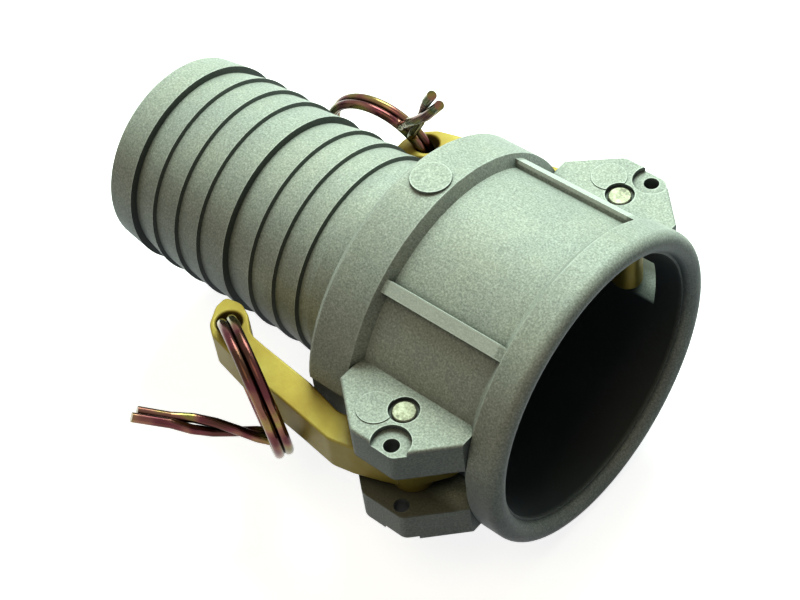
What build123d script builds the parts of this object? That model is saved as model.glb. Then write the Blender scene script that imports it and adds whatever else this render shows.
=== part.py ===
from build123d import *
import math
import os

os.makedirs("parts", exist_ok=True)

# Frame: millimetres, +X is the flow axis and points out of the mouth, +Z runs along the pivot pins.
# The origin is the centre of the mouth, in the plane of its rounded edge.

# Socket and cup. The plug's bore and the walls round it set every radius in front of the hose tail.
SOCKET_R = 32.0         # bore that takes the 2-inch plug
SOCKET_DEPTH = 40.7     # mouth to gasket groove
LEAD_X = -2.2           # inner end of the conical lead-in
LIP_WALL = 5.6          # bead round the mouth
LIP_ROUND = 2.5
LIP_LEN = 7.6           # mouth to where the bead starts to fall
LIP_FALL = 1.7
CUP_WALL = 3.7          # plain wall behind the bead
LIP_R = SOCKET_R + LIP_WALL
LIP_MID_R = LIP_R - LIP_ROUND
CUP_R = SOCKET_R + CUP_WALL

# Gasket, its groove and the band that houses it
GASKET_HOLD = 1.35      # how far the gasket stands out past the socket bore
GASKET_W = 7.95
GASKET_T = 6.2
GASKET_BEVEL = 0.4
GROOVE_PLAY_R, GROOVE_PLAY_X = 0.25, 0.3
COLLAR_WALL = 4.8
COLLAR_FACE = 0.9       # band ahead of the groove
COLLAR_HEEL = 3.6       # band behind the groove
COLLAR_FALL = 1.5
GASKET_OUT_R = SOCKET_R + GASKET_HOLD
GASKET_IN_R = GASKET_OUT_R - GASKET_W
GROOVE_R = GASKET_OUT_R + GROOVE_PLAY_R
GROOVE_FRONT_X = -SOCKET_DEPTH
GROOVE_BACK_X = GROOVE_FRONT_X - GASKET_T - GROOVE_PLAY_X
COLLAR_R = GROOVE_R + COLLAR_WALL
COLLAR_FRONT_X = GROOVE_FRONT_X + COLLAR_FACE
COLLAR_FOOT_X = COLLAR_FRONT_X + COLLAR_FALL
COLLAR_BACK_X = GROOVE_BACK_X - COLLAR_HEEL

# Hose tail
TAIL_END_X = -128.5
BORE_R = 22.0
TAIL_WALL = 3.6         # bore to the crest of a barb
TAIL_END_STEP = 1.0     # the end stands this much inside the crests
SHOULDER_LEN = 6.2
FLARE_LEN = 10.3        # cone from the gasket's opening to the bore
BARB_START = 9.8        # first crest, from the foot of the shoulder
BARB_PITCHES = [7.2, 7.3, 8.2, 8.5, 7.2, 7.3, 7.5]
DEEP, SHALLOW = 1.5, 0.85
BARB_DEPTHS = [SHALLOW, SHALLOW, SHALLOW, DEEP]     # repeats from the shoulder outwards
BARB_FACE = 0.45        # length of each steep face
BARB_LAND = 4.0         # from the foot of the first barb to the plain stretch
TAIL_R = BORE_R + TAIL_WALL
TAIL_END_R = TAIL_R - TAIL_END_STEP
TAIL_ROOT_X = COLLAR_BACK_X - SHOULDER_LEN

# Pivot pins and tie holes
PIN_X = -23.05
PIN_OUT = 5.15          # pin centre outside the socket bore
PIN_Y = SOCKET_R + PIN_OUT
PIN_R = 2.65
PIN_SHY = 0.35          # pin ends inside the ears' faces
PIN_RECESS_R, PIN_RECESS = 3.35, 1.0
TIE_X, TIE_Y, TIE_R = PIN_X + 3.1, PIN_Y + 7.7, 1.75
SCALLOP_R, SCALLOP = 4.3, 1.25

# Ears: two plates on each side with the arm between them, outlined about the pin
EAR_GAP = 13.8
EAR_T = 8.85
EAR_TOP = EAR_GAP / 2 + EAR_T
EAR_SINK = 2.0          # the ears start this far inside the bore's wall, and the bore trims them
EAR_BACK, EAR_FRONT = -16.35, 15.25
EAR_OUT = 10.25
EAR_OUTLINE = [(EAR_BACK, 1.45), (-5.85, EAR_OUT), (5.15, EAR_OUT), (EAR_FRONT, -0.15)]
EAR_ROUND = 2.5         # corners of the outer edge
EAR_EDGE = 0.6
WINDOW_BACK, WINDOW_FRONT = -11.35, 13.55   # window in the cup wall for the cam
EAR_MARK_X, EAR_MARK_Y, EAR_MARK_R, EAR_MARK_H = -5.15, 3.05, 4.1, 0.22

# Ribs and the round mark on the collar
RIB_ANGLE, RIB_W, RIB_H, RIB_SINK = 37.0, 3.0, 1.7, 1.5
PAD_ANGLE, PAD_R, PAD_H, PAD_SINK = 1.0, 4.5, 0.5, 1.0
PAD_X = COLLAR_BACK_X + 5.8

# Cam arms, drawn closed, about their pin: x towards the mouth, y away from the flow axis
ARM_HALF = 4.9
ARM_EDGE = 0.5
ARM_PLAY = 0.07
HUB_R = 5.0
HUB_SIDE_PLAY = 0.3
HUB_HALF = EAR_GAP / 2 - HUB_SIDE_PLAY
NOSE_R, NOSE_REACH, NOSE_ANGLE = 3.5, 7.1, -40.0
NOSE = (NOSE_REACH * math.cos(math.radians(NOSE_ANGLE)),
        NOSE_REACH * math.sin(math.radians(NOSE_ANGLE)))
NOSE_BACK = 1.6         # the nose's flat starts this far behind its centre
HEEL = (2.2, -7.3)
TIP_X, TIP_Y = -54.6, -10.2     # inner side of the strap's tip
TIP_GAP = 1.35          # closed arm's tip off the barbs
STRAP_SLOPE = (TAIL_R + TIP_GAP - PIN_Y - TIP_Y) / TIP_X    # 0 for this size of socket and tail
STRAP = [(-3.4, 6.4), (-9.7, 8.1), (-14.8, 8.8), (-25.2, 6.8), (-43.4, 3.6), (-54.3, 0.6),
         (-57.0, -1.6), (-59.2, -6.4), (-59.0, -9.7), (TIP_X, TIP_Y), (-51.2, -8.4),
         (-47.2, -4.5), (-42.2, -3.5), (-27.3, -1.0), (-16.5, 2.0), (-9.6, -0.9), (0.5, -6.9)]
STRAP_ROUND = [1.0, 6.0, 6.0, 30.0, 14.0, 3.5, 4.0, 3.0, 1.3, 3.5, 3.0, 5.0, 20.0, 14.0, 6.0, 6.0, 1.0]
EYE_X, EYE_Y = -53.6, -4.5      # centre of the ring hole
EYE_R = 3.05
EYE_EDGE = 0.55
OPEN_LEFT, OPEN_RIGHT = 0.0, 3.6    # how far each arm stands off its closed stop, in degrees

# Pull rings: one round wire bent twice round the eye, its two ends twisted into a tail
WIRE_R = 1.15
TURN_OFFSET = 1.12      # half the distance between the two turns
TWIST_R = 1.28
TWIST_START, TWIST_LEN = 3.2, 20.0
TWIST_TURN, TWIST_STEPS = 180.0, 4
TIP_SPREAD = 0.1


def polar(r, deg):
    return (r * math.cos(math.radians(deg)), r * math.sin(math.radians(deg)))


def tangent_points(c0, r0, c1, r1):
    """Ends of the outer tangent on the left of the line from c0 to c1."""
    dx, dy = c1[0] - c0[0], c1[1] - c0[1]
    turn = math.atan2(dy, dx) + math.acos((r0 - r1) / math.hypot(dx, dy))
    n = (math.cos(turn), math.sin(turn))
    return (c0[0] + r0 * n[0], c0[1] + r0 * n[1]), (c1[0] + r1 * n[0], c1[1] + r1 * n[1])


def sloped(x, y):
    """Point of the strap, swung down or up so that the tip keeps its gap to the barbs."""
    return (x, y + STRAP_SLOPE * x)


def barbs():
    """(crest x, depth) of each barb, from the shoulder out to the end of the hose tail."""
    x, rows = TAIL_ROOT_X - BARB_START, []
    while x > TAIL_END_X + max(BARB_PITCHES) / 2:
        i = len(rows)
        rows.append((x, BARB_DEPTHS[i % len(BARB_DEPTHS)]))
        x -= BARB_PITCHES[i % len(BARB_PITCHES)]
    return rows


# Coupler body: one casting
with BuildPart() as coupler_body:
    with BuildSketch(Plane.XY):
        with BuildLine():
            tail = [(TAIL_END_X, 0), (TAIL_END_X, TAIL_END_R - 0.5), (TAIL_END_X + 0.5, TAIL_END_R)]
            for x, depth in reversed(barbs()):
                tail += [(x, TAIL_R), (x + BARB_FACE, TAIL_R - depth)]
            tail += [(TAIL_ROOT_X - BARB_START + BARB_LAND, TAIL_R), (TAIL_ROOT_X, TAIL_R),
                     (COLLAR_BACK_X - 0.6, COLLAR_R - 1.0), (COLLAR_BACK_X + 0.6, COLLAR_R),
                     (COLLAR_FRONT_X, COLLAR_R), (COLLAR_FOOT_X, CUP_R), (-LIP_LEN - LIP_FALL, CUP_R),
                     (-LIP_LEN, LIP_R), (-LIP_ROUND, LIP_R)]
            Polyline(*tail)
            ThreePointArc(tail[-1], (0, LIP_MID_R), (-LIP_ROUND, LIP_MID_R - LIP_ROUND))
            Polyline((-LIP_ROUND, LIP_MID_R - LIP_ROUND), (-LIP_ROUND, 0), (TAIL_END_X, 0))
        make_face()
    revolve(axis=Axis.X)

    # ears
    for z in (EAR_GAP / 2, -EAR_TOP):
        with BuildSketch(Plane.XY.offset(z)):
            for side in (1, -1):
                with BuildLine():
                    rim = [(PIN_X + x, side * (PIN_Y + y)) for x, y in EAR_OUTLINE]
                    root_y = side * (SOCKET_R - EAR_SINK)
                    FilletPolyline(*rim, radius=EAR_ROUND)
                    Polyline(rim[-1], (rim[-1][0], root_y), (rim[0][0], root_y), rim[0])
                make_face()
        extrude(amount=EAR_T)
    ear_rim = coupler_body.edges().filter_by(
        lambda e: abs(abs(e.center().Z) - EAR_TOP) < 0.01 and abs(e.center().Y) > CUP_R + 0.3)
    fillet(ear_rim, radius=EAR_EDGE)

    # ribs from the collar to the bead
    with BuildSketch(Plane.YZ.offset(COLLAR_FRONT_X)):
        for turn in (90 - RIB_ANGLE, 90 + RIB_ANGLE, 270 - RIB_ANGLE, 270 + RIB_ANGLE):
            with PolarLocations(CUP_R + (RIB_H - RIB_SINK) / 2, 1, start_angle=turn):
                Rectangle(RIB_H + RIB_SINK, RIB_W)
    extrude(amount=-LIP_LEN - COLLAR_FRONT_X)

    # flat round marks that stand on the collar and the ears
    pad_out = (0, math.sin(math.radians(PAD_ANGLE)), math.cos(math.radians(PAD_ANGLE)))
    pad_foot = (PAD_X, pad_out[1] * (COLLAR_R - PAD_SINK), pad_out[2] * (COLLAR_R - PAD_SINK))
    with BuildSketch(Plane(origin=pad_foot, x_dir=(1, 0, 0), z_dir=pad_out)):
        Circle(PAD_R)
    extrude(amount=PAD_SINK + PAD_H)
    for z, way in ((EAR_TOP, 1), (-EAR_TOP, -1)):
        with BuildSketch(Plane.XY.offset(z)):
            for side in (1, -1):
                with Locations((PIN_X + EAR_MARK_X, side * (PIN_Y + EAR_MARK_Y))):
                    Circle(EAR_MARK_R)
        extrude(amount=way * EAR_MARK_H)

    # socket, gasket groove and bore
    with BuildSketch(Plane.XY):
        with BuildLine():
            lead_r = LIP_MID_R - LIP_ROUND * math.sin(math.radians(40))
            lead_x = -LIP_ROUND + LIP_ROUND * math.cos(math.radians(40))
            slope = (lead_r - SOCKET_R) / (lead_x - LEAD_X)
            Polyline((5, 0), (5, lead_r + slope * (5 - lead_x)), (lead_x, lead_r), (LEAD_X, SOCKET_R),
                     (GROOVE_FRONT_X, SOCKET_R), (GROOVE_FRONT_X, GROOVE_R), (GROOVE_BACK_X, GROOVE_R),
                     (GROOVE_BACK_X, GASKET_IN_R), (GROOVE_BACK_X - FLARE_LEN, BORE_R),
                     (TAIL_END_X + 0.8, BORE_R), (TAIL_END_X - 1, BORE_R + 1.8), (TAIL_END_X - 1, 0), (5, 0))
        make_face()
    revolve(axis=Axis.X, mode=Mode.SUBTRACT)

    # windows for the cams and flats under the straps
    with BuildSketch(Plane.XY.offset(-EAR_GAP / 2)):
        for side in (1, -1):
            with Locations((PIN_X + WINDOW_BACK, side * (SOCKET_R - 4.0))):
                Rectangle(WINDOW_FRONT - WINDOW_BACK, PIN_OUT + EAR_OUT + 5.0,
                          align=(Align.MIN, Align.MIN if side > 0 else Align.MAX))
            with Locations((COLLAR_BACK_X - 4.0, side * CUP_R)):
                Rectangle(COLLAR_FOOT_X + 0.5 - COLLAR_BACK_X + 4.0, COLLAR_R - CUP_R + 5.0,
                          align=(Align.MIN, Align.MIN if side > 0 else Align.MAX))
    extrude(amount=EAR_GAP, mode=Mode.SUBTRACT)

    # pin holes, tie holes and their recesses
    with BuildSketch(Plane.XY.offset(-EAR_TOP - 5.0)):
        with Locations((PIN_X, PIN_Y), (PIN_X, -PIN_Y)):
            Circle(PIN_R)
        with Locations((TIE_X, TIE_Y), (TIE_X, -TIE_Y)):
            Circle(TIE_R)
    extrude(amount=2 * (EAR_TOP + 5.0), mode=Mode.SUBTRACT)
    for z, way in ((EAR_TOP, 1), (-EAR_TOP, -1)):
        with BuildSketch(Plane.XY.offset(z - way * PIN_RECESS)):
            with Locations((PIN_X, PIN_Y), (PIN_X, -PIN_Y)):
                Circle(PIN_RECESS_R)
        extrude(amount=way * 5, mode=Mode.SUBTRACT)
        with BuildSketch(Plane.XY.offset(z - way * SCALLOP)):
            with Locations((TIE_X, TIE_Y), (TIE_X, -TIE_Y)):
                Circle(SCALLOP_R)
        extrude(amount=way * 5, mode=Mode.SUBTRACT)
coupler_body.part.label = "coupler_body"
export_step(coupler_body.part, "parts/coupler_body.step")

# Gasket: flat rubber ring against the back of its groove
with BuildPart() as gasket:
    with BuildSketch(Plane.XY) as cut:
        with Locations((GROOVE_BACK_X + GASKET_T / 2, (GASKET_IN_R + GASKET_OUT_R) / 2)):
            Rectangle(GASKET_T, GASKET_OUT_R - GASKET_IN_R)
        chamfer(cut.vertices(), length=GASKET_BEVEL)
    revolve(axis=Axis.X)
gasket.part.label = "gasket"
export_step(gasket.part, "parts/gasket.step")


def pivot_pin(side):
    """Plain pin through both ears on one side (side is +1 or -1 along Y)."""
    with BuildPart() as pin:
        with BuildSketch(Plane(origin=(PIN_X, side * PIN_Y, PIN_SHY - EAR_TOP))):
            Circle(PIN_R)
        extrude(amount=2 * (EAR_TOP - PIN_SHY))
        chamfer(pin.edges().filter_by(GeomType.CIRCLE), length=0.25)
    return pin


def arm_frame(side, open_deg, z=0.0):
    """Plane of one arm: x towards the mouth and y away from the flow axis when closed."""
    x_dir = (math.cos(math.radians(open_deg)), -side * math.sin(math.radians(open_deg)), 0)
    return Plane(origin=(PIN_X, side * PIN_Y, 0), x_dir=x_dir, z_dir=(0, 0, side)).offset(z)


def cam_arm(side, open_deg):
    """Arm with its cam nose, strap and ring eye."""
    flank0, flank1 = tangent_points((0, 0), HUB_R, NOSE, NOSE_R)
    nose_low = (NOSE[0] - NOSE_BACK, NOSE[1] - math.sqrt(NOSE_R ** 2 - NOSE_BACK ** 2))
    nose_mid = polar(NOSE_R, -35)
    with BuildPart() as arm:
        with BuildSketch(arm_frame(side, open_deg, -ARM_HALF)):
            with BuildLine():
                strap = [sloped(x, y) for x, y in STRAP]
                FilletPolyline((0, HUB_R + 0.3), *strap, HEEL, radius=STRAP_ROUND)
                Line(HEEL, nose_low)
                ThreePointArc(nose_low, (NOSE[0] + nose_mid[0], NOSE[1] + nose_mid[1]), flank1)
                Line(flank1, flank0)
                ThreePointArc(flank0, polar(HUB_R, 65), polar(HUB_R, 88))
                Line(polar(HUB_R, 88), (0, HUB_R + 0.3))
            make_face()
        extrude(amount=2 * ARM_HALF)
        rim = arm.edges().filter_by(lambda e: abs(abs(e.center().Z) - ARM_HALF) < 0.01)
        fillet(rim, radius=ARM_EDGE)
        with BuildSketch(arm_frame(side, open_deg, -HUB_HALF)):
            Circle(HUB_R - 0.1)
        extrude(amount=2 * HUB_HALF)
        with BuildSketch(arm_frame(side, open_deg, -10)):
            Circle(PIN_R + ARM_PLAY)
            with Locations(sloped(EYE_X, EYE_Y)):
                Circle(EYE_R)
        extrude(amount=20, mode=Mode.SUBTRACT)
        eye = arm_frame(side, open_deg).from_local_coords(Vector(*sloped(EYE_X, EYE_Y), 0))
        eye_rim = arm.edges().filter_by(GeomType.CIRCLE).filter_by(
            lambda e: abs(e.arc_center.X - eye.X) < 0.05 and abs(e.arc_center.Y - eye.Y) < 0.05)
        fillet(eye_rim, radius=EYE_EDGE)
    return arm


def pull_ring(side, open_deg, ring_r, place, way_deg, lean_deg, tail_deg, tail_side, tail_way, tips):
    """Ring through the eye of one arm.

    place is its centre from the eye, outward and up. way_deg is the compass direction in which it stands
    out, and lean_deg tips its upper half over. tail_deg is the place round the ring where the tail
    leaves, tail_side the turn that it leaves from, and tail_way its direction: across the ring's plane,
    out from its centre, and along the wire. tips are the lengths of the two ends."""
    eye = arm_frame(side, open_deg).from_local_coords(Vector(*sloped(EYE_X, EYE_Y), 0))
    s = Vector(math.cos(math.radians(way_deg)), math.sin(math.radians(way_deg)), 0)
    lean = math.radians(lean_deg)
    up = Vector(0, 0, 1) * math.cos(lean) + s.cross(Vector(0, 0, 1)) * math.sin(lean)
    n = s.cross(up)
    mid = eye + s * place[0] + Vector(0, 0, place[1])
    out = s * math.cos(math.radians(tail_deg)) + up * math.sin(math.radians(tail_deg))
    along = n.cross(out)
    tail = (n * tail_way[0] + out * tail_way[1] + along * tail_way[2]).normalized()
    apart = (along - tail * along.dot(tail)).normalized()
    across = tail.cross(apart)

    def beside(deg):
        return apart * math.cos(math.radians(deg)) + across * math.sin(math.radians(deg))

    root = mid + out * ring_r + n * (tail_side * TURN_OFFSET)
    with BuildPart() as ring:
        with BuildSketch(Plane(origin=mid, x_dir=s, z_dir=s.cross(n))):
            with Locations((ring_r, TURN_OFFSET), (ring_r, -TURN_OFFSET)):
                Circle(WIRE_R)
        revolve(axis=Axis(mid, n))
        for hand, tip in ((-1, tips[0]), (1, tips[1])):
            pts = [root + along * (hand * 3.6) - out * 0.9 - n * (tail_side * 0.6),
                   root + along * (hand * 1.5) + tail * 0.5]
            for i in range(TWIST_STEPS + 1):
                reach = TWIST_START + TWIST_LEN * i / TWIST_STEPS
                pts.append(root + tail * reach + beside(TWIST_TURN * i / TWIST_STEPS) * (hand * TWIST_R))
            pts.append(root + tail * tip + beside(TWIST_TURN) * (hand * (TWIST_R + TIP_SPREAD)))
            radii = [1.6] + [6.0] * TWIST_STEPS + [3.0]
            with BuildLine() as path:
                FilletPolyline(*pts, radius=radii)
            with BuildSketch(Plane(origin=pts[0], z_dir=pts[1] - pts[0])):
                Circle(WIRE_R)
            sweep(path=path.wires()[0])
    return ring


pivot_pin_left = pivot_pin(1)
pivot_pin_right = pivot_pin(-1)
pivot_pin_left.part.label = "pivot_pin_left"
pivot_pin_right.part.label = "pivot_pin_right"
export_step(pivot_pin_left.part, "parts/pivot_pin_left.step")
export_step(pivot_pin_right.part, "parts/pivot_pin_right.step")

cam_arm_left = cam_arm(1, OPEN_LEFT)
cam_arm_right = cam_arm(-1, OPEN_RIGHT)
cam_arm_left.part.label = "cam_arm_left"
cam_arm_right.part.label = "cam_arm_right"
export_step(cam_arm_left.part, "parts/cam_arm_left.step")
export_step(cam_arm_right.part, "parts/cam_arm_right.step")

pull_ring_left = pull_ring(1, OPEN_LEFT, ring_r=14.7, place=(13.7, -2.4), way_deg=186.6, lean_deg=-4.5,
                           tail_deg=130.0, tail_side=-1, tail_way=(-0.16, 0.97, -0.11), tips=(25.9, 27.4))
pull_ring_right = pull_ring(-1, OPEN_RIGHT, ring_r=15.6, place=(15.05, -1.4), way_deg=-27.2, lean_deg=5.0,
                            tail_deg=-80.0, tail_side=1, tail_way=(0.81, -0.55, -0.19), tips=(32.2, 30.8))
pull_ring_left.part.label = "pull_ring_left"
pull_ring_right.part.label = "pull_ring_right"
export_step(pull_ring_left.part, "parts/pull_ring_left.step")
export_step(pull_ring_right.part, "parts/pull_ring_right.step")
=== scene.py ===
import math

import bpy
from mathutils import Matrix, Vector

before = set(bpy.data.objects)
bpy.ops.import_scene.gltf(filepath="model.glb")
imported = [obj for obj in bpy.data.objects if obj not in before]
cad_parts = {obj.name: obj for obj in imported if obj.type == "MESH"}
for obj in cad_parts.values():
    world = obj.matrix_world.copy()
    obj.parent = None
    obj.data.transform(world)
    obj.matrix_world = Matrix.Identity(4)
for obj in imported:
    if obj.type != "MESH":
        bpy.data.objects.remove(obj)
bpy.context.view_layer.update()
scene = bpy.context.scene

# Camera: fitted to the circles and edges of the photograph
CAM_PLACE = (0.140948, -0.187363, 0.306158)
CAM_RIGHT = (0.756893, 0.646480, -0.095794)
CAM_DOWN = (0.445482, -0.617609, -0.648155)
CAM_LENS = 80.67
CAM_SENSOR = 36.0
CAM_CLIP = (0.01, 10.0)

# Floor: pale and glowing where it is seen, dull in the light it throws back. Sky: the even glow of the room.
FLOOR_Z = -0.0385
FLOOR_HALF = 1.5
FLOOR_PALE = (0.85, 0.86, 0.86, 1)
FLOOR_DULL = (0.06, 0.08, 0.14, 1)
FLOOR_GLOW = 0.85
WHITE = (1, 1, 1, 1)
SKY_TINT = (0.85, 0.95, 1.0, 1)
SKY_POWER = 0.02

# Square soft lamps. Each stands at its bearing from +X and its height, both in degrees, and has its own tint.
LAMP_TARGET = (-0.05, 0.0, 0.0)
LAMP_FAR = 0.75
LAMP_SIDE = 0.38
LAMP_POWER = 4.0
LAMPS = (("key_box", 118, 50, (1.58, 1.98, 1.70)), ("far_box", 90, 35, (0.12, 0.17, 0.16)),
         ("tail_box", 180, 50, (0.04, 0.05, 0.04)), ("near_box", -85, 65, (0.26, 0.23, 0.145)))

# Skins: cells to the metre of the slow clouds and of the rubbed patches, the lumps' cells as a share of the
# pits' cells, and the height of the bumps
CLOUD_CELLS = 70.0
PATCH_CELLS = 350.0
LUMP_SHARE = 0.22
PIT_HEIGHT = 0.0002

# Wear and painted shade: how well the rounded and the true normal agree, from an unworn to a worn edge, and
# how open the sky is from where nothing is rubbed or painted in shade to where it is
EDGE_BEND = (0.995, 0.86)
EDGE_OPEN = (0.7, 0.95)
HOLLOW_OPEN = (0.95, 0.35)

# Bores of the casting: radii, the socket's two ends, and how far past a bore's wall their painted shade fades
# out
SOCKET_R = 0.0320
BORE_R = 0.0220
BORE_FADE = (0.0008, 0.0002)
MOUTH_FADE_X = (-0.0015, -0.0035)
SOCKET_END_X = -0.0475
END_FADE = 0.0002

# Barbs: where the hose tail's root fades in, and how square to the axis a face must be to count as a step
TAIL_ROOT_X = (-0.0590, -0.0600)
STEP_FACING = (0.25, 0.8)
# How strong the painted shade on the barbs' steps is
STEP_SHADE = 0.86

# How far down a face looks where the painted shade of the underside starts, and where it is darkest
UNDER_FACING = (0.28, -0.30)
UNDER_SHADE = 0.7

# Slots between the ears: half their height, and the radius where they leave the wall
EAR_IN_Z = 0.0069
SLOT_FADE = (0.0004, 0.0001)
SLOT_R = (0.037, 0.040)
# How strong the painted shade in the slots is
SLOT_SHADE = 0.8

# Ribs of the socket: outer radius, ends at the collar and the lip, and the height where they fade in
RIB_R = 0.0374
RIB_FADE = (-0.0009, -0.0006)
COLLAR_X = -0.0385
LIP_X = -0.0093
RIB_END_FADE = 0.0005
RIB_HEIGHT = (0.020, 0.024)
RIB_BRIGHT = 0.45


def make_camera():
    """Camera at the photograph's place, with its right, up and back axes as the matrix columns."""
    right, down = Vector(CAM_RIGHT), Vector(CAM_DOWN)
    back = -right.cross(down)
    turn = Matrix((right, -down, back)).transposed().to_4x4()
    data = bpy.data.cameras.new("camera")
    data.lens = CAM_LENS
    data.sensor_width = CAM_SENSOR
    data.clip_start, data.clip_end = CAM_CLIP
    cam = bpy.data.objects.new("camera", data)
    cam.matrix_world = Matrix.Translation(CAM_PLACE) @ turn
    scene.collection.objects.link(cam)
    scene.camera = cam


def soft_lamp(name, bearing, height, tint):
    """Square area lamp on a sphere round the part, turned so that its beam runs to the sphere's centre."""
    data = bpy.data.lights.new(name, "AREA")
    data.size = LAMP_SIDE
    data.energy = LAMP_POWER
    data.color = tint
    way, rise = math.radians(bearing), math.radians(height)
    flat = LAMP_FAR * math.cos(rise)
    arm = Vector((flat * math.cos(way), flat * math.sin(way), LAMP_FAR * math.sin(rise)))
    lamp = bpy.data.objects.new(name, data)
    lamp.location = Vector(LAMP_TARGET) + arm
    lamp.rotation_mode = "QUATERNION"
    lamp.rotation_quaternion = (-arm).to_track_quat("-Z", "Y")
    scene.collection.objects.link(lamp)


def put(tree, kind, inputs=None, **settings):
    """New node: settings are its own values, and each input is a plain value or a socket to link."""
    node = tree.nodes.new("ShaderNode" + kind)
    for name, value in settings.items():
        setattr(node, name, value)
    for name, value in (inputs or {}).items():
        if isinstance(value, bpy.types.NodeSocket):
            tree.links.new(value, node.inputs[name])
        else:
            node.inputs[name].default_value = value
    return node


def ramp(tree, factor, *stops):
    """Colour ramp; each stop is its position and its colour."""
    node = put(tree, "ValToRGB", {"Fac": factor})
    marks = node.color_ramp.elements
    while len(marks) < len(stops):
        marks.new(0.5)
    for mark, (place, colour) in zip(marks, stops):
        mark.position = place
        mark.color = (*colour, 1)
    return node.outputs["Color"]


def mix(tree, factor, colour_a, colour_b, blend="MIX"):
    """Colour a turning into b as the factor goes from 0 to 1."""
    paints = {"Fac": factor}
    for name, colour in (("Color1", colour_a), ("Color2", colour_b)):
        paints[name] = colour if isinstance(colour, bpy.types.NodeSocket) else (*colour, 1)
    return put(tree, "MixRGB", paints, blend_type=blend).outputs["Color"]


def span(tree, value, low, high, out_low=0.0, out_high=1.0):
    """Value from low..high mapped to out_low..out_high and held there."""
    return put(tree, "MapRange", {"Value": value, "From Min": low, "From Max": high,
                                  "To Min": out_low, "To Max": out_high}).outputs["Result"]


def calc(tree, operation, a, b=0.0):
    """One step of arithmetic on two values, or on the first alone."""
    return put(tree, "Math", {0: a, 1: b}, operation=operation).outputs[0]


def product(tree, first, *others):
    """All the values multiplied, so that masks are 1 only where each of them is 1."""
    for other in others:
        first = calc(tree, "MULTIPLY", first, other)
    return first


def noise(tree, place, scale, detail, rough, **more):
    """Grey noise, with its scale in cells to the metre."""
    return put(tree, "TexNoise", {"Vector": place, "Scale": scale, "Detail": detail, "Roughness": rough,
                                  **more}).outputs["Fac"]


def new_group(name, takes, gives):
    """Empty node group, with its input and output sockets."""
    tree = bpy.data.node_groups.new(name, "ShaderNodeTree")
    for title in takes:
        tree.interface.new_socket(title, in_out="INPUT", socket_type="NodeSocketFloat")
    for title in gives:
        kind = "NodeSocketVector" if title == "Normal" else "NodeSocketFloat"
        tree.interface.new_socket(title, in_out="OUTPUT", socket_type=kind)
    return tree, tree.nodes.new("NodeGroupInput").outputs, tree.nodes.new("NodeGroupOutput").inputs


def use_group(tree, group, **values):
    """The group's outputs in a material, with its own input values."""
    node = put(tree, "Group", node_tree=group)
    for name, value in values.items():
        node.inputs[name].default_value = value
    return node.outputs


def make_grain():
    """Fine pits and slow clouds of a blasted or cast skin. Cells is pits to the metre, Depth their bump.

    The height is 0.7 of the pits plus 0.5 of lumps about five times as wide."""
    tree, takes, gives = new_group("skin_grain", ("Cells", "Depth"), ("Speckle", "Cloud", "Normal"))
    place = put(tree, "TexCoord").outputs["Object"]
    pits = noise(tree, place, takes["Cells"], 2.0, 0.65)
    lumps = noise(tree, place, calc(tree, "MULTIPLY", takes["Cells"], LUMP_SHARE), 2.0, 0.5)
    clouds = noise(tree, place, CLOUD_CELLS, 3.0, 0.6)
    height = calc(tree, "ADD", calc(tree, "MULTIPLY", pits, 0.7), calc(tree, "MULTIPLY", lumps, 0.5))
    bump = put(tree, "Bump", {"Height": height, "Strength": takes["Depth"], "Distance": PIT_HEIGHT})
    tree.links.new(span(tree, pits, 0.3, 0.7), gives["Speckle"])
    tree.links.new(span(tree, clouds, 0.3, 0.7), gives["Cloud"])
    tree.links.new(bump.outputs["Normal"], gives["Normal"])
    return tree


def make_wear_and_shade():
    """Rubbed edges and painted hollow shade. Width is how far the rub reaches, Reach how far a hollow
    darkens.

    An edge is where the rounded normal turns away from the true one, broken up by patches and kept out of
    hollows. A hollow is where little of the sky near it is open."""
    tree, takes, gives = new_group("edge_wear_and_painted_shade", ("Width", "Reach"), ("Edge", "HollowShade"))
    soft = put(tree, "Bevel", {"Radius": takes["Width"]}, samples=6).outputs["Normal"]
    hard = put(tree, "NewGeometry").outputs["Normal"]
    bend = put(tree, "VectorMath", {0: soft, 1: hard}, operation="DOT_PRODUCT").outputs["Value"]
    turn = span(tree, bend, *EDGE_BEND)
    open_sky = put(tree, "AmbientOcclusion", {"Distance": takes["Reach"]}, samples=8).outputs["AO"]
    patches = noise(tree, put(tree, "TexCoord").outputs["Object"], PATCH_CELLS, 4.0, 0.7)
    rub = product(tree, span(tree, patches, 0.38, 0.6, 0.25, 1.0), span(tree, open_sky, *EDGE_OPEN))
    tree.links.new(product(tree, turn, rub), gives["Edge"])
    # Painted shade: darker where little of the sky near a surface is open
    tree.links.new(span(tree, open_sky, *HOLLOW_OPEN), gives["HollowShade"])
    return tree


def new_material(name, metallic, gloss=None):
    """Material with its tree and its shader's inputs; metallic and gloss are the same all over."""
    mat = bpy.data.materials.new(name)
    mat.use_nodes = True
    shader = mat.node_tree.nodes["Principled BSDF"].inputs
    shader["Metallic"].default_value = metallic
    if gloss is not None:
        shader["Specular IOR Level"].default_value = gloss
    return mat, mat.node_tree, shader


def connect(tree, shader, colour, rough, normal):
    """Links a material's colour, roughness and bumped normal to its shader."""
    tree.links.new(colour, shader["Base Color"])
    tree.links.new(rough, shader["Roughness"])
    tree.links.new(normal, shader["Normal"])


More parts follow.
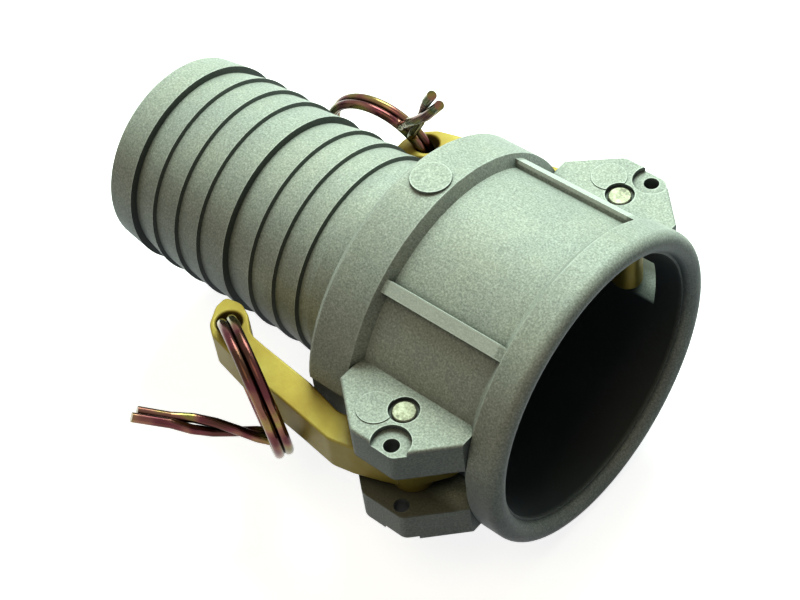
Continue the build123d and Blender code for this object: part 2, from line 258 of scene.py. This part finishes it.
def shade_casting(tree, colour):
    """The casting's colour with painted shade and brighter places: the radius is measured from the flow axis.

    Painted shade darkens the barbs' steps, faces that look down, the slots between the ears and both
    bores. Bright are the ribs' outer faces."""
    coordinates = put(tree, "TexCoord").outputs
    place = put(tree, "SeparateXYZ", {0: coordinates["Object"]}).outputs
    facing = put(tree, "SeparateXYZ", {0: coordinates["Normal"]}).outputs
    radius = calc(tree, "SQRT", calc(tree, "ADD", calc(tree, "POWER", place["Y"], 2.0),
                                     calc(tree, "POWER", place["Z"], 2.0)))
    height = calc(tree, "ABSOLUTE", place["Z"])

    # Painted shade on the barbs' steps: faces square to the axis on the hose tail
    steps = product(tree, span(tree, facing["X"], *STEP_FACING), span(tree, place["X"], *TAIL_ROOT_X))
    colour = mix(tree, product(tree, steps, STEP_SHADE), colour, (0.035, 0.045, 0.04))
    # Painted shade on faces that look down
    colour = mix(tree, span(tree, facing["Z"], *UNDER_FACING, 0.0, UNDER_SHADE), colour, (0.10, 0.12, 0.14))
    # Painted shade in the slots between the ears
    slot = product(tree, span(tree, height, EAR_IN_Z + SLOT_FADE[0], EAR_IN_Z + SLOT_FADE[1]),
                   span(tree, radius, *SLOT_R))
    colour = mix(tree, product(tree, slot, SLOT_SHADE), colour, (0.075, 0.07, 0.05))
    crest = product(tree, span(tree, radius, RIB_R + RIB_FADE[0], RIB_R + RIB_FADE[1]),
                    span(tree, place["X"], COLLAR_X, COLLAR_X + RIB_END_FADE),
                    span(tree, place["X"], LIP_X, LIP_X - RIB_END_FADE), span(tree, height, *RIB_HEIGHT))
    colour = mix(tree, product(tree, crest, RIB_BRIGHT), colour, (0.86, 0.90, 0.86))
    # Painted shade inside the socket and the hose tail's bore
    socket = product(tree, span(tree, radius, SOCKET_R + BORE_FADE[0], SOCKET_R + BORE_FADE[1]),
                     span(tree, place["X"], *MOUTH_FADE_X),
                     span(tree, place["X"], SOCKET_END_X - END_FADE, SOCKET_END_X))
    bore = span(tree, radius, BORE_R + BORE_FADE[0], BORE_R + BORE_FADE[1])
    return mix(tree, calc(tree, "MAXIMUM", socket, bore), colour, (0.09, 0.10, 0.10))


def make_casting():
    """Bead-blasted aluminium: fine speckle, painted shade in corners and inside, bare and brighter along
    edges.
    """
    mat, tree, shader = new_material("blasted_casting", 0.05, gloss=0.12)
    skin = use_group(tree, grain, Cells=2300.0, Depth=0.35)
    rub_and_shade = use_group(tree, wear_and_shade, Width=0.0007, Reach=0.004)
    colour = ramp(tree, skin["Speckle"], (0.0, (0.31, 0.33, 0.298)), (0.5, (0.45, 0.468, 0.425)),
                  (1.0, (0.64, 0.665, 0.61)))
    tint = ramp(tree, skin["Cloud"], (0.0, (0.86, 0.88, 0.90)), (1.0, (1.0, 1.0, 0.97)))
    colour = mix(tree, 1.0, colour, tint, "MULTIPLY")
    colour = mix(tree, rub_and_shade["Edge"], colour, (0.74, 0.78, 0.73))
    # Painted shade in hollows and corners
    colour = mix(tree, rub_and_shade["HollowShade"], colour, (0.045, 0.055, 0.05))
    rough = calc(tree, "SUBTRACT", span(tree, skin["Cloud"], 0.0, 1.0, 0.56, 0.48),
                 product(tree, rub_and_shade["Edge"], 0.15))
    connect(tree, shader, shade_casting(tree, colour), rough, skin["Normal"])
    return mat


def make_brass():
    """Cast brass, tumbled: lemon skin, painted brown shade in hollows, bright along edges."""
    mat, tree, shader = new_material("cast_brass", 0.12, gloss=0.10)
    skin = use_group(tree, grain, Cells=1500.0, Depth=0.16)
    rub_and_shade = use_group(tree, wear_and_shade, Width=0.0006, Reach=0.005)
    colour = ramp(tree, skin["Cloud"], (0.0, (0.40, 0.26, 0.035)), (0.55, (0.47, 0.35, 0.06)),
                  (1.0, (0.53, 0.42, 0.11)))
    colour = mix(tree, span(tree, skin["Speckle"], 0.0, 1.0, 0.22, 0.0), colour, (0.34, 0.23, 0.05))
    colour = mix(tree, rub_and_shade["Edge"], colour, (0.96, 0.86, 0.42))
    # Painted brown shade in hollows
    colour = mix(tree, rub_and_shade["HollowShade"], colour, (0.12, 0.075, 0.02))
    connect(tree, shader, colour, span(tree, skin["Cloud"], 0.0, 1.0, 0.46, 0.34), skin["Normal"])
    return mat


def make_pin_steel():
    """Pin ends with hammer mottle: bright metal and a few dull spots."""
    mat, tree, shader = new_material("pin_steel", 0.2)
    skin = use_group(tree, grain, Cells=750.0, Depth=0.9)
    rub_and_shade = use_group(tree, wear_and_shade, Width=0.0003, Reach=0.0015)
    colour = ramp(tree, skin["Speckle"], (0.0, (0.10, 0.095, 0.05)), (0.35, (0.26, 0.255, 0.16)),
                  (0.6, (0.36, 0.36, 0.24)), (1.0, (0.52, 0.52, 0.38)))
    # Painted shade in hollows
    colour = mix(tree, rub_and_shade["HollowShade"], colour, (0.05, 0.05, 0.04))
    connect(tree, shader, colour, span(tree, skin["Cloud"], 0.0, 1.0, 0.34, 0.5), skin["Normal"])
    return mat


def make_wire():
    """Yellow-passivated zinc on steel wire: bands of gold, green, rose and brown from one slow noise."""
    mat, tree, shader = new_material("plated_wire", 1.0)
    bands = noise(tree, put(tree, "TexCoord").outputs["Object"], 95.0, 2.0, 0.45, Distortion=0.4)
    skin = use_group(tree, grain, Cells=1800.0, Depth=0.10)
    rub_and_shade = use_group(tree, wear_and_shade, Width=0.0004, Reach=0.003)
    colour = ramp(tree, bands, (0.30, (0.05, 0.022, 0.014)), (0.40, (0.11, 0.028, 0.036)),
                  (0.47, (0.20, 0.09, 0.06)), (0.53, (0.19, 0.145, 0.04)), (0.60, (0.07, 0.085, 0.025)),
                  (0.70, (0.20, 0.15, 0.05)))
    colour = mix(tree, span(tree, skin["Speckle"], 0.0, 1.0, 0.20, 0.0), colour, (0.07, 0.04, 0.025))
    # Painted shade in hollows
    colour = mix(tree, rub_and_shade["HollowShade"], colour, (0.03, 0.018, 0.012))
    connect(tree, shader, colour, span(tree, skin["Cloud"], 0.0, 1.0, 0.14, 0.26), skin["Normal"])
    return mat


def make_rubber():
    """Black moulded rubber, dusty along its edges."""
    mat, tree, shader = new_material("gasket_rubber", 0.0)
    skin = use_group(tree, grain, Cells=1200.0, Depth=0.2)
    rub_and_shade = use_group(tree, wear_and_shade, Width=0.0005, Reach=0.002)
    colour = ramp(tree, skin["Cloud"], (0.0, (0.016, 0.017, 0.017)), (1.0, (0.034, 0.034, 0.032)))
    colour = mix(tree, rub_and_shade["Edge"], colour, (0.07, 0.07, 0.066))
    connect(tree, shader, colour, span(tree, skin["Speckle"], 0.0, 1.0, 0.55, 0.72), skin["Normal"])
    return mat


def shown(tree):
    """1 for the rays that show the white background: the camera's, mirrored and transmitted ones."""
    rays = put(tree, "LightPath").outputs
    mirrored = calc(tree, "MAXIMUM", rays["Is Glossy Ray"], rays["Is Transmission Ray"])
    return calc(tree, "MAXIMUM", rays["Is Camera Ray"], mirrored)


def make_world():
    """White where it is seen or mirrored, and a faint even glow for the light on the object."""
    world = bpy.data.worlds.new("studio")
    scene.world = world
    world.use_nodes = True
    tree = world.node_tree
    tree.nodes.clear()
    seen = put(tree, "Background", {"Color": WHITE, "Strength": 1.0}).outputs[0]
    light = put(tree, "Background", {"Color": SKY_TINT, "Strength": SKY_POWER}).outputs[0]
    pick = put(tree, "MixShader", {0: shown(tree), 1: light, 2: seen})
    put(tree, "OutputWorld", {"Surface": pick.outputs[0]})


def make_floor():
    """Large sheet under the object: near white where it is seen, duller in the light that it throws back."""
    mesh = bpy.data.meshes.new("floor")
    corners = [(x * FLOOR_HALF, y * FLOOR_HALF, FLOOR_Z) for x, y in ((-1, -1), (1, -1), (1, 1), (-1, 1))]
    mesh.from_pydata(corners, [], [(0, 1, 2, 3)])
    floor = bpy.data.objects.new("floor", mesh)
    scene.collection.objects.link(floor)
    mat = bpy.data.materials.new("floor_white")
    mat.use_nodes = True
    tree = mat.node_tree
    tree.nodes.clear()
    pale = put(tree, "BsdfDiffuse", {"Color": FLOOR_PALE}).outputs[0]
    dull = put(tree, "BsdfDiffuse", {"Color": FLOOR_DULL}).outputs[0]
    glow = put(tree, "Emission", {"Color": WHITE, "Strength": FLOOR_GLOW}).outputs[0]
    lit = put(tree, "AddShader", {0: pale, 1: glow}).outputs[0]
    pick = put(tree, "MixShader", {0: shown(tree), 1: dull, 2: lit})
    put(tree, "OutputMaterial", {"Surface": pick.outputs[0]})
    mesh.materials.append(mat)


def dress(node, mat):
    """Gives a CAD node its material."""
    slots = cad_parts[node].data.materials
    slots.clear()
    slots.append(mat)


make_camera()
scene.view_settings.view_transform = "Standard"
make_world()
make_floor()
for lamp_row in LAMPS:
    soft_lamp(*lamp_row)

grain = make_grain()
wear_and_shade = make_wear_and_shade()
dress("coupler_body", make_casting())
dress("gasket", make_rubber())
steel = make_pin_steel()
brass = make_brass()
wire = make_wire()
for side in ("left", "right"):
    dress("pivot_pin_" + side, steel)
    dress("cam_arm_" + side, brass)
    dress("pull_ring_" + side, wire)
